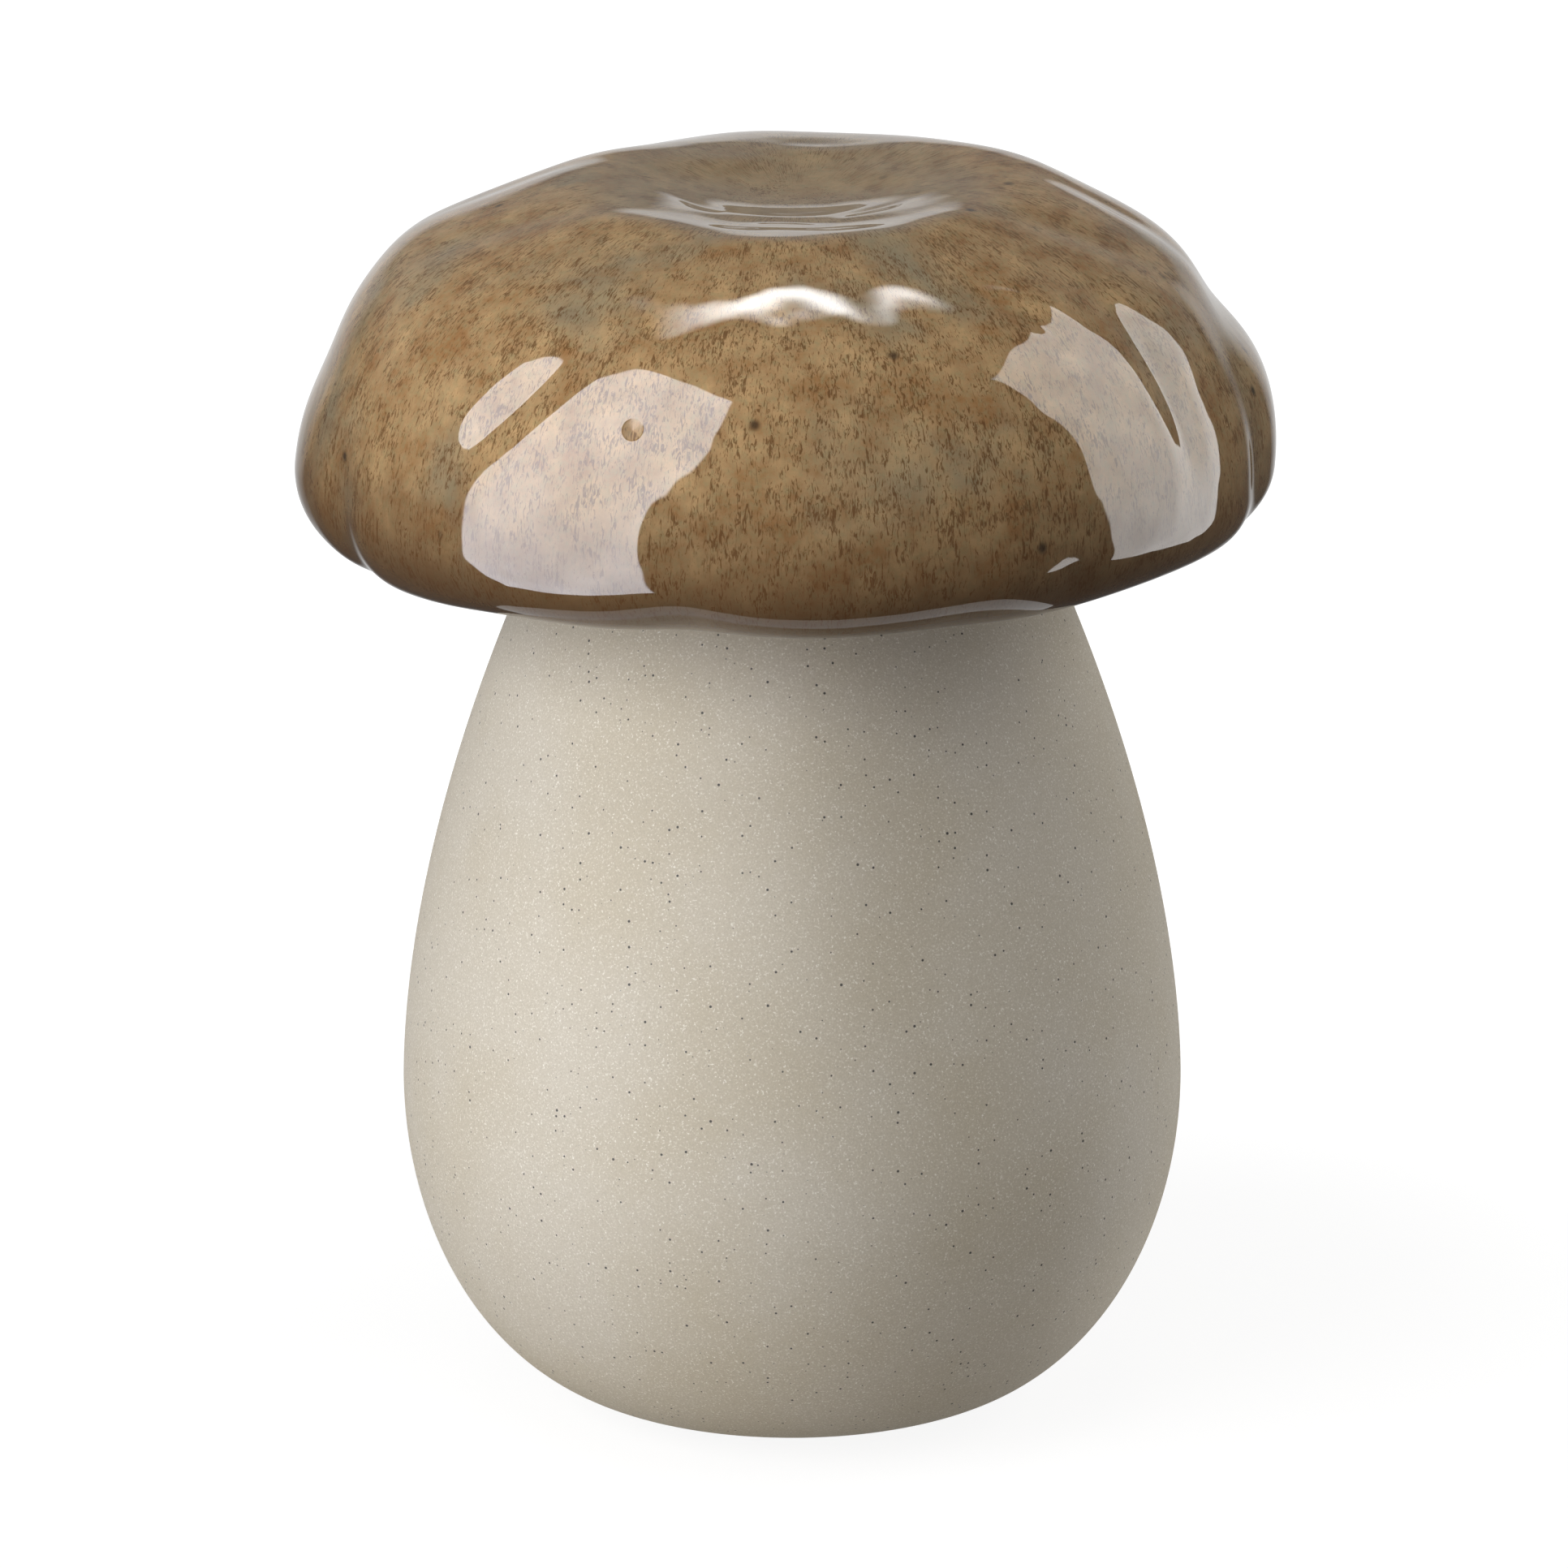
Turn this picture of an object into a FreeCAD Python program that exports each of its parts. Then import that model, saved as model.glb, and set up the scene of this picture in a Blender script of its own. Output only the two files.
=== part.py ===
"""A ceramic mushroom ornament: a dented, glazed cap bonded onto a bare stoneware stem.

Lengths are millimetres and angles degrees. +Z is up, the front faces -Y, and the origin lies on the
ground below the middle of the ornament. Both castings are hollow. The stem's neck ends in a spigot,
bonded into a socket in the cap's underside. The dome sits on the underside's stepped rim and is bonded
round it. Four felt pads carry the foot.
"""
import FreeCAD, Part
import math
import os

# Stem casting, with heights above its foot
STEM_HEIGHT = 106.5
BELLY_RADIUS = 45.3
BELLY_HEIGHT = 37.6
NECK_RADIUS = 26.8
FOOT_RADIUS = 19.0
STEM_WALL = 5.0
# Above 1, the stem leaves its belly slowly and draws in faster towards the neck
STEM_TAPER_POWER = 1.75

# Recess in the middle of the foot, which leaves a ring to stand on
RECESS_RADIUS = 9.5
RECESS_DEPTH = 1.5

# Spigot on top of the stem, and the adhesive between it and its socket
SPIGOT_RADIUS = 21.0
SPIGOT_HEIGHT = 8.0
SPIGOT_WALL = 4.5
BOND_THICKNESS = 0.5

# Dome of the cap: its widest ring, and what stands above and hangs below that ring
CAP_RADIUS = 56.1
DOME_RISE = 35.9
LIP_DROP = 7.9
LIP_DEPTH = 7.9
CAP_WALL = 5.0
# 2 would make the dome's section an ellipse, more makes its shoulders squarer
DOME_SQUARENESS = 2.3

# Underside: the dished ring that closes the cap round the stem
UNDERSIDE_THICKNESS = 5.0
UNDERSIDE_DISH = 1.3
LIP_RETURN = 2.2
RIM_LAND = 1.5
RIM_STEP_WIDTH = 2.0
RIM_STEP_HEIGHT = 2.5
SOCKET_WALL = 5.0

# Felt pads under the foot
PAD_RADIUS = 4.0
PAD_THICKNESS = 1.2
PAD_RING_RADIUS = 14.5
PAD_AZIMUTHS = {
    "foot_pad_front_right": 45,
    "foot_pad_back_right": 135,
    "foot_pad_back_left": 225,
    "foot_pad_front_left": 315,
}

# How deep the modeller's dents and furrows are
DOME_DENT_DEPTH = 2.0
STEM_DENT_DEPTH = 0.6

# A cutting tool runs this far past the face that it leaves through
OVERRUN = 1.0

# An edge that rises less than this is flat
FLATNESS = 0.01

# Poles of the two skins, up the outline and around it
DOME_SPANS = 26
DOME_COLUMNS = 56
STEM_SPANS = 12
STEM_COLUMNS = 24

# Dents and swellings of the dome. Each has its turn from the front towards +X, its climb along the
# outline from the lip's inner edge (0) to the top (1), its half width and half length as shares of the
# cap's radius, the slant of its length from upright, and its lift as a share of the dent depth.
CROWN_SHARES = (0, 1.0, 0.38, 0.38, 0, -3.0)
DOME_RELIEF_SHARES = (
    CROWN_SHARES,
    (-38, 0.72, 0.14, 0.07, 0, 0.30),
    (-8, 0.69, 0.14, 0.06, 0, 0.30),
    (18, 0.71, 0.14, 0.06, 0, 0.25),
    (45, 0.72, 0.14, 0.07, 0, 0.35),
    (-20, 0.80, 0.08, 0.07, 0, -0.30),
    (12, 0.80, 0.12, 0.07, 0, -0.30),
    (80, 0.74, 0.30, 0.14, 0, 0.5),
    (125, 0.74, 0.34, 0.14, 0, 0.9),
    (-95, 0.76, 0.34, 0.14, 0, 0.5),
    (-140, 0.76, 0.30, 0.14, 0, 0.5),
    (0, 0.47, 0.35, 0.16, 0, 0.45),
    (-17, 0.46, 0.12, 0.08, 0, 0.25),
    (-3, 0.40, 0.14, 0.12, 0, 0.22),
    (-8, 0.26, 0.14, 0.16, 0, -0.20),
    (-35, 0.40, 0.05, 0.16, 34, -0.38),
    (-52, 0.33, 0.08, 0.12, 0, -0.20),
    (0, 0.53, 0.08, 0.12, 0, -0.25),
    (15, 0.54, 0.07, 0.12, 0, -0.20),
    (37, 0.51, 0.04, 0.10, -40, -0.25),
    (54, 0.39, 0.045, 0.19, -4, -0.38),
    (66, 0.45, 0.13, 0.13, 0, 0.35),
    (40, 0.51, 0.10, 0.10, 0, 0.40),
    (30, 0.42, 0.12, 0.12, 0, 0.15),
    (26, 0.20, 0.08, 0.10, 0, 0.30),
    (-90, 0.33, 0.40, 0.13, 0, -0.6),
    (95, 0.41, 0.40, 0.11, 0, -0.8),
    (-92, 0.51, 0.30, 0.10, 0, 0.4),
    (-95, 0.12, 0.30, 0.10, 0, 0.3),
    (98, 0.12, 0.30, 0.08, 0, -0.6),
    (180, 0.42, 0.40, 0.15, 0, -0.3),
    (-65, 0.08, 0.45, 0.12, 0, 0.8),
    (65, 0.08, 0.50, 0.14, 0, -0.6),
    (-110, 0.12, 0.40, 0.16, 0, 0.5),
    (-28, 0.12, 0.16, 0.08, 0, 0.25),
    (3, 0.12, 0.16, 0.08, 0, 0.2),
    (-13, 0.12, 0.09, 0.08, 0, -0.3),
    (22, 0.12, 0.12, 0.08, 0, -0.2),
    (-66, 0.18, 0.07, 0.16, 0, -0.5),
    (74, 0.24, 0.08, 0.20, 0, -0.5),
    (-130, 0.20, 0.16, 0.12, 0, 0.35),
    (128, 0.14, 0.18, 0.10, 0, 0.35),
    (-150, 0.30, 0.12, 0.26, -10, -0.45),
    (155, 0.34, 0.14, 0.24, 15, -0.45),
    (180, 0.12, 0.20, 0.10, 0, -0.3),
    (178, 0.74, 0.40, 0.16, 0, -0.25),
    (-170, 0.60, 0.16, 0.18, 0, 0.35),
    (120, 0.56, 0.12, 0.26, 30, -0.4),
    (-125, 0.60, 0.14, 0.26, -30, -0.45),
)

# Soft unevenness of the stem, in the same order, with the climb from the foot (0) to the shoulder (1)
STEM_RELIEF_SHARES = (
    (0, 0.72, 0.22, 0.60, 0, 0.5),
    (24, 0.66, 0.22, 0.55, 0, -0.9),
    (48, 0.40, 0.20, 0.60, 0, 0.6),
    (-30, 0.50, 0.30, 0.60, 0, 0.4),
    (140, 0.45, 0.25, 0.60, 0, 0.6),
    (-130, 0.45, 0.25, 0.60, 0, 0.6),
    (175, 0.60, 0.25, 0.50, 0, -0.6),
)

# The relief dies away over these shares of an outline, next to its flat edges
DOME_FADE_SHARE = 0.05
STEM_FADE_SHARE = 0.12

# Straight runs in the section of each hollow
HOLLOW_STEPS = 8

# How finely an outline is measured, and how near two places lie that give its direction
OUTLINE_SAMPLES = 2000
NEARBY_SHARE = 0.002

# Degree of the skins' curves both ways
CUBIC = 3

foot_level = PAD_THICKNESS
shoulder_level = foot_level + STEM_HEIGHT
seat_level = shoulder_level + BOND_THICKNESS
rim_level = seat_level - UNDERSIDE_DISH
cap_middle = rim_level - LIP_RETURN + LIP_DROP
socket_radius = SPIGOT_RADIUS + BOND_THICKNESS
lip_radius = CAP_RADIUS - LIP_DEPTH
lip_inner_turn = 180 - math.degrees(math.asin(1 - LIP_RETURN / LIP_DROP))
opening_radius = lip_radius + LIP_DEPTH * math.cos(math.radians(lip_inner_turn)) - RIM_LAND


def stem_outline(share):
    """Radius and height of the stem's skin, from the foot (0) over the belly (half way) to the neck (1)."""
    if share < 0.5:
        turn = math.radians(180 * share)
        radius = FOOT_RADIUS + (BELLY_RADIUS - FOOT_RADIUS) * math.sin(turn)
        return radius, foot_level + BELLY_HEIGHT * (1 - math.cos(turn))
    climb = 2 * share - 1
    radius = BELLY_RADIUS - (BELLY_RADIUS - NECK_RADIUS) * climb ** STEM_TAPER_POWER
    return radius, foot_level + BELLY_HEIGHT + (STEM_HEIGHT - BELLY_HEIGHT) * climb


def dome_arc(share, radius, rise):
    """Radius and height of a dome's section, from its widest ring (0) to its top (1)."""
    turn = math.radians(90 * share)
    power = 2 / DOME_SQUARENESS
    return radius * math.cos(turn) ** power, cap_middle + rise * math.sin(turn) ** power


def dome_outline(share):
    """Radius and height of the cap's skin, from the lip's inner edge (0) over its rim to the top (1)."""
    if share < 0.5:
        turn = math.radians(lip_inner_turn * (1 - 2 * share))
        return lip_radius + LIP_DEPTH * math.cos(turn), cap_middle - LIP_DROP * math.sin(turn)
    return dome_arc(2 * share - 1, CAP_RADIUS, DOME_RISE)


class Outline:
    """An outline to turn about +Z, measured off in even steps of its own length."""

    def __init__(self, function):
        steps = range(OUTLINE_SAMPLES + 1)
        self.points = [function(step / OUTLINE_SAMPLES) for step in steps]
        self.lengths = [0]
        for before, after in zip(self.points, self.points[1:]):
            self.lengths.append(self.lengths[-1] + math.dist(before, after))
        self.length = self.lengths[-1]

    def at(self, share):
        """Radius and height at a share of the outline's length."""
        wanted = min(max(share, 0), 1) * self.length
        after = next(i for i, length in enumerate(self.lengths) if i and length >= wanted)
        low, high = self.lengths[after - 1], self.lengths[after]
        part = (wanted - low) / (high - low)
        return [a + (b - a) * part for a, b in zip(self.points[after - 1], self.points[after])]

    def frame(self, share, azimuth):
        """Place on the turned skin, with the directions across, along and out of it."""
        radius, height = self.at(share)
        low, high = self.at(share - NEARBY_SHARE), self.at(share + NEARBY_SHARE)
        sine, cosine = math.sin(math.radians(azimuth)), math.cos(math.radians(azimuth))
        outward = FreeCAD.Vector(sine, -cosine, 0)
        along = outward * (high[0] - low[0]) + FreeCAD.Vector(0, 0, high[1] - low[1])
        if radius < FLATNESS:
            along = outward * -1
        along.normalize()
        across = FreeCAD.Vector(cosine, sine, 0)
        return outward * radius + FreeCAD.Vector(0, 0, height), across, along, across.cross(along)


class Relief:
    """Dents and swellings that a hand pressed into a skin."""

    def __init__(self, outline, rows, reach, depth):
        self.dents = [self.dent(outline, row, reach, depth) for row in rows]

    @staticmethod
    def dent(outline, row, reach, depth):
        azimuth, climb, width_share, length_share, slant, lift_share = row
        middle, across, along, out = outline.frame(climb, azimuth)
        sine, cosine = math.sin(math.radians(slant)), math.cos(math.radians(slant))
        width, length = width_share * reach, length_share * reach
        sides = (
            (across * cosine - along * sine, width),
            (across * sine + along * cosine, length),
            (out, max(width, length)),
        )
        return middle, sides, lift_share * depth

    def lift(self, place):
        """How far the skin stands out at a place."""
        total = 0
        for middle, sides, lift in self.dents:
            away = place - middle
            total += lift * math.exp(-sum((away.dot(side) / size) ** 2 for side, size in sides))
        return total


def fade(share, reach):
    """0 at a flat edge, rising smoothly to 1 within a reach along the outline."""
    part = min(share / reach, 1)
    return part * part * (3 - 2 * part)


def dome_fade(share):
    """How much of the relief shows along the dome: none at the lip's inner edge, all soon above it."""
    return fade(share, DOME_FADE_SHARE)


def stem_fade(share):
    """How much of the relief shows along the stem: none at the foot and the neck, all between them."""
    return fade(share, STEM_FADE_SHARE) * fade(1 - share, STEM_FADE_SHARE)


def column_curve(places, first_run, last_run):
    """A smooth curve through the places of one column, with given directions at its ends."""
    curve = Part.BSplineCurve()
    curve.interpolate(
        Points=places,
        Parameters=[float(step) for step in range(len(places))],
        InitialTangent=first_run,
        FinalTangent=last_run,
        Scale=False,
    )
    return curve


def ring_poles(places):
    """Poles of an evenly knotted closed cubic ring through the places.

    Each pole stands off its place by a sixth of the bend there.
    """
    poles = []
    for index, place in enumerate(places):
        after = places[(index + 1) % len(places)]
        bend = places[index - 1] + after - place * 2
        poles.append(place - bend * (1 / 6))
    return poles


def skin_face(outline, relief, spans, columns, edge_fade):
    """The turned outline as one smooth face, pressed in and out by the relief."""
    curves = []
    run = outline.length / spans
    for column in range(columns):
        azimuth = 360 * column / columns
        places = []
        for row in range(spans + 1):
            middle, across, along, out = outline.frame(row / spans, azimuth)
            places.append(middle + out * (relief.lift(middle) * edge_fade(row / spans)))
        first_run = outline.frame(0, azimuth)[2] * run
        last_run = outline.frame(1, azimuth)[2] * run
        curves.append(column_curve(places, first_run, last_run))
    rings = [ring_poles(ring) for ring in zip(*(curve.getPoles() for curve in curves))]
    surface = Part.BSplineSurface()
    surface.buildFromPolesMultsKnots(
        [list(column) for column in zip(*rings)],
        [1] * (columns + 1),
        curves[0].getMultiplicities(),
        [float(step) for step in range(columns + 1)],
        curves[0].getKnots(),
        True,
        False,
        CUBIC,
        CUBIC,
    )
    return surface.toShape()


def close_skin(face):
    """A solid inside a skin, closed with a flat face on each open edge."""
    faces = [face]
    for edge in face.Edges:
        box = edge.BoundBox
        if box.ZLength < FLATNESS < box.XLength:
            faces.append(Part.Face(Part.Wire([edge])))
    shell = Part.makeShell(faces)
    shell.sewShape()
    solid = Part.Solid(shell)
    if solid.Volume < 0:
        solid.reverse()
    return solid


def turned(points):
    """A solid made by turning a closed outline of radius and height about +Z."""
    corners = [FreeCAD.Vector(radius, 0, height) for radius, height in points]
    face = Part.Face(Part.makePolygon(corners + corners[:1]))
    return face.revolve(FreeCAD.Vector(), FreeCAD.Vector(0, 0, 1), 360)


def disc(radius, low, high):
    """A round bar about +Z."""
    return Part.makeCylinder(radius, high - low, FreeCAD.Vector(0, 0, low))


def save(name, shape):
    """Write one node and print its volume in cubic millimetres."""
    shape.exportStep(os.path.join("parts", name + ".step"))
    print(name, round(shape.Volume), "valid" if shape.isValid() else "NOT VALID")


def stem_shell():
    """The stem: a hollow casting with a recessed foot, open at the top through its spigot."""
    outline = Outline(stem_outline)
    relief = Relief(outline, STEM_RELIEF_SHARES, BELLY_RADIUS, STEM_DENT_DEPTH)
    face = skin_face(outline, relief, STEM_SPANS, STEM_COLUMNS, stem_fade)
    spigot = disc(SPIGOT_RADIUS, shoulder_level - STEM_WALL / 2, shoulder_level + SPIGOT_HEIGHT)
    shell = close_skin(face).fuse(spigot)
    shell = shell.cut(disc(RECESS_RADIUS, foot_level - OVERRUN, foot_level + RECESS_DEPTH))
    shell = shell.cut(stem_hollow())
    bore = SPIGOT_RADIUS - SPIGOT_WALL
    top = shoulder_level + SPIGOT_HEIGHT + OVERRUN
    return shell.cut(disc(bore, shoulder_level - STEM_WALL - OVERRUN, top))


def stem_hollow():
    """The room inside the stem: its outline drawn in by the wall on every side."""
    low = foot_level + RECESS_DEPTH + STEM_WALL
    high = shoulder_level - STEM_WALL
    inside = [(0, low)]
    for step in range(HOLLOW_STEPS + 1):
        radius, height = stem_outline(step / HOLLOW_STEPS)
        climb = (height - foot_level) / STEM_HEIGHT
        inside.append((radius - STEM_WALL, low + (high - low) * climb))
    return turned(inside + [(0, high)])


def dome_hollow(outline):
    """The room inside the cap, above the underside, with its roof drawn down below the crown."""
    crown = Relief(outline, [CROWN_SHARES], CAP_RADIUS, DOME_DENT_DEPTH)
    inside = [(0, rim_level), (CAP_RADIUS - CAP_WALL, rim_level)]
    for step in range(HOLLOW_STEPS + 1):
        radius, height = dome_arc(step / HOLLOW_STEPS, CAP_RADIUS - CAP_WALL, DOME_RISE - CAP_WALL)
        inside.append((radius, height + crown.lift(FreeCAD.Vector(radius, 0, height))))
    below = disc(CAP_RADIUS, rim_level - OVERRUN, rim_level + UNDERSIDE_THICKNESS)
    return turned(inside).cut(below)


def cap_dome():
    """The cap's top: a hollow casting with dents, a waved lip and a stepped opening below."""
    outline = Outline(dome_outline)
    relief = Relief(outline, DOME_RELIEF_SHARES, CAP_RADIUS, DOME_DENT_DEPTH)
    shell = close_skin(skin_face(outline, relief, DOME_SPANS, DOME_COLUMNS, dome_fade))
    shell = shell.cut(dome_hollow(outline))
    step = rim_level + RIM_STEP_HEIGHT + BOND_THICKNESS
    floor = rim_level + UNDERSIDE_THICKNESS
    shell = shell.cut(disc(opening_radius, rim_level - OVERRUN, step))
    return shell.cut(disc(opening_radius - RIM_STEP_WIDTH, rim_level - OVERRUN, floor + OVERRUN))


def cap_underside():
    """The dished ring below the cap's hollow, with a stepped rim and a socket for the spigot."""
    rim = opening_radius - BOND_THICKNESS
    step = rim_level + RIM_STEP_HEIGHT
    top = rim_level + UNDERSIDE_THICKNESS
    collar = socket_radius + SOCKET_WALL
    return turned([
        (socket_radius, seat_level),
        (collar, seat_level),
        (rim, rim_level),
        (rim, step),
        (rim - RIM_STEP_WIDTH, step),
        (rim - RIM_STEP_WIDTH, top),
        (collar, top + UNDERSIDE_DISH),
        (collar, shoulder_level + SPIGOT_HEIGHT),
        (socket_radius, shoulder_level + SPIGOT_HEIGHT),
    ])


def neck_bond():
    """The adhesive under the socket's mouth and up round the spigot."""
    return turned([
        (SPIGOT_RADIUS, shoulder_level),
        (NECK_RADIUS, shoulder_level),
        (NECK_RADIUS, seat_level),
        (socket_radius, seat_level),
        (socket_radius, shoulder_level + SPIGOT_HEIGHT),
        (SPIGOT_RADIUS, shoulder_level + SPIGOT_HEIGHT),
    ])


def rim_bond():
    """The adhesive in the stepped joint between the dome and the underside."""
    step = rim_level + RIM_STEP_HEIGHT
    top = rim_level + UNDERSIDE_THICKNESS
    inner = opening_radius - RIM_STEP_WIDTH
    return turned([
        (opening_radius - BOND_THICKNESS, rim_level),
        (opening_radius, rim_level),
        (opening_radius, step + BOND_THICKNESS),
        (inner, step + BOND_THICKNESS),
        (inner, top),
        (inner - BOND_THICKNESS, top),
        (inner - BOND_THICKNESS, step),
        (opening_radius - BOND_THICKNESS, step),
    ])


def foot_pad(azimuth):
    """One felt disc, on the ground below the foot's ring."""
    turn = math.radians(azimuth)
    middle = FreeCAD.Vector(PAD_RING_RADIUS * math.sin(turn), -PAD_RING_RADIUS * math.cos(turn), 0)
    return Part.makeCylinder(PAD_RADIUS, PAD_THICKNESS, middle)


def main():
    """Make every piece and write each to its own file."""
    os.makedirs("parts", exist_ok=True)
    save("stem_shell", stem_shell())
    save("cap_dome", cap_dome())
    save("cap_underside", cap_underside())
    save("neck_bond", neck_bond())
    save("rim_bond", rim_bond())
    for name, azimuth in PAD_AZIMUTHS.items():
        save(name, foot_pad(azimuth))


main()
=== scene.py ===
"""Looks of a ceramic mushroom ornament: a dented, glossy glazed cap on a bare stoneware stem.

Lengths are metres and angles degrees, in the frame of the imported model: +Z is up and the front faces -Y.
"""
from __future__ import annotations

import logging
import math
from collections.abc import Callable, Sequence
from dataclasses import dataclass
from enum import Enum

import bmesh
import bpy
import numpy as np
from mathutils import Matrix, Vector

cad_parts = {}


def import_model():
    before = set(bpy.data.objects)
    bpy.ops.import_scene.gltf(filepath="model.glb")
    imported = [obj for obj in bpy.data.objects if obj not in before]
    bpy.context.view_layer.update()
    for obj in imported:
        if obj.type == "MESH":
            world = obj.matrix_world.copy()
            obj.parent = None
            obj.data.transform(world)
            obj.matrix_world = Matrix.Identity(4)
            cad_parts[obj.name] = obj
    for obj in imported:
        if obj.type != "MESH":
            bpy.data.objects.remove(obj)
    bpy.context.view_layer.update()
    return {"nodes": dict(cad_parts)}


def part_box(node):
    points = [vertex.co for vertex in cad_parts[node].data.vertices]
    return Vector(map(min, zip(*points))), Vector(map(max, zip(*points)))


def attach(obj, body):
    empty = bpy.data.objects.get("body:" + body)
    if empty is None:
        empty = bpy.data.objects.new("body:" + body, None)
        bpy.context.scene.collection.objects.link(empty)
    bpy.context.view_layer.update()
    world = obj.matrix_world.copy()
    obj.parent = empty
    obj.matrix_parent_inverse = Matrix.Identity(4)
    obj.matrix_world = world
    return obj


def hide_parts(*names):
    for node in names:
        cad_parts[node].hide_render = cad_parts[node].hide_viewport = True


LOG = logging.getLogger("mushroom")
MM = 0.001
# a radius or a gap below this is none
TINY = 1e-6
# faces that meet at more degrees than this show an edge
SHARP_ANGLE = 40

Numbers = np.ndarray
Corner = tuple[float, float]
Outline = Callable[[float], Corner]
Mesh = bpy.types.Mesh
Material = bpy.types.Material
Tree = bpy.types.NodeTree
Node = bpy.types.Node
Socket = bpy.types.NodeSocket


def linear(code: str) -> tuple[float, float, float, float]:
    """Turn an sRGB colour into the linear one that shaders take.

    Args:
        code: the colour as six hex digits after a hash.

    Returns:
        Linear red, green, blue and a full alpha.
    """
    shares = [int(code[start:start + 2], 16) / 255 for start in (1, 3, 5)]
    red, green, blue = (c / 12.92 if c <= 0.04045 else ((c + 0.055) / 1.055) ** 2.4 for c in shares)
    return red, green, blue, 1.0


def add_node(
    tree: Tree,
    kind: str,
    inputs: dict[str | int, object] | None = None,
    **settings: object,
) -> Node:
    """Add one node with its settings and links.

    Args:
        tree: the node tree that takes it.
        kind: the node's type, without its first part, ShaderNode.
        inputs: by the input's name or place, a value, or a socket or node to link from. A node gives its
            first output.
        settings: the node's own properties.

    Returns:
        The new node.
    """
    node = tree.nodes.new("ShaderNode" + kind)
    for name, value in settings.items():
        setattr(node, name, value)
    for name, value in (inputs or {}).items():
        if isinstance(value, Node):
            value = value.outputs[0]
        if isinstance(value, Socket):
            tree.links.new(value, node.inputs[name])
        else:
            node.inputs[name].default_value = value
    return node


def set_stops(ramp: Node, stops: Sequence[tuple[float, str]]) -> Node:
    """Give a colour ramp its stops.

    Args:
        ramp: the ramp's node.
        stops: each stop's place and its sRGB hex colour.

    Returns:
        The same node.
    """
    elements = ramp.color_ramp.elements
    while len(elements) < len(stops):
        elements.new(0.5)
    for element, (place, code) in zip(elements, stops):
        element.position = place
        element.color = linear(code)
    return ramp


def painted(tree: Tree, ground: Node, layers: Sequence[tuple[Node, str]]) -> Socket:
    """Lay colours over a ground, one after the other.

    Args:
        tree: the material's tree.
        ground: the node that gives the ground's colour.
        layers: for each, the node that gives how much of it shows, and its sRGB hex colour.

    Returns:
        The colour of them all.
    """
    colour = ground.outputs[0]
    for amount, code in layers:
        mixed = add_node(tree, "Mix", {"Factor": amount, "A": colour, "B": linear(code)}, data_type="RGBA")
        colour = mixed.outputs[2]
    return colour


def new_material(name: str) -> tuple[Material, Tree]:
    """Make a material with an empty node tree.

    Args:
        name: the material's name.

    Returns:
        The material and its tree.
    """
    material = bpy.data.materials.new(name)
    material.use_nodes = True
    material.node_tree.nodes.clear()
    return material, material.node_tree


@dataclass(frozen=True)
class Dent:
    """A place where a hand pressed a skin in or out.

    Azimuth turns from the front towards +X and slant turns the dent itself, both in degrees. Climb is a
    share of the outline's length, width and length are shares of the skin's reach, and lift is one of its
    depth.
    """

    azimuth: float
    climb: float
    width: float
    length: float
    slant: float
    lift: float


class Profile:
    """An outline to turn about +Z, measured off in even steps of its own length."""

    def __init__(self, outline: Outline, samples: int = 2000) -> None:
        """Measure an outline.

        Args:
            outline: gives radius and height for a share from 0 to 1.
            samples: how finely it is measured.
        """
        points = np.array([outline(step / samples) for step in range(samples + 1)])
        steps = np.linalg.norm(np.diff(points, axis=0), axis=1)
        lengths = np.concatenate([[0.0], np.cumsum(steps)])
        self.radii = points[:, 0]
        self.heights = points[:, 1]
        self.climbs = lengths / lengths[-1]

    def at(self, climb: Numbers) -> tuple[Numbers, Numbers]:
        """Radius and height at shares of the outline's length."""
        return np.interp(climb, self.climbs, self.radii), np.interp(climb, self.climbs, self.heights)

    def frame(self, climb: Numbers, azimuth: Numbers) -> tuple[Numbers, Numbers, Numbers, Numbers]:
        """Places on the turned skin, with the directions across, along and out of it.

        Args:
            climb: shares of the outline's length.
            azimuth: turns from the front towards +X, in radians.

        Returns:
            Places, and the unit directions across, along and out, one row each.
        """
        nearby = 0.002
        radius, height = self.at(climb)
        low_radius, low_height = self.at(climb - nearby)
        high_radius, high_height = self.at(climb + nearby)
        # on the axis the outline runs level, towards it
        on_axis = radius < TINY
        run = np.where(on_axis, -1.0, high_radius - low_radius)
        gain = np.where(on_axis, 0.0, high_height - low_height)
        level = np.zeros_like(azimuth)
        outward = np.stack([np.sin(azimuth), -np.cos(azimuth), level], -1)
        upward = np.array([0.0, 0.0, 1.0])
        along = outward * run[:, None] + upward * gain[:, None]
        along /= np.linalg.norm(along, axis=-1, keepdims=True)
        across = np.stack([np.cos(azimuth), np.sin(azimuth), level], -1)
        place = outward * radius[:, None] + upward * height[:, None]
        return place, across, along, np.cross(across, along)


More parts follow.
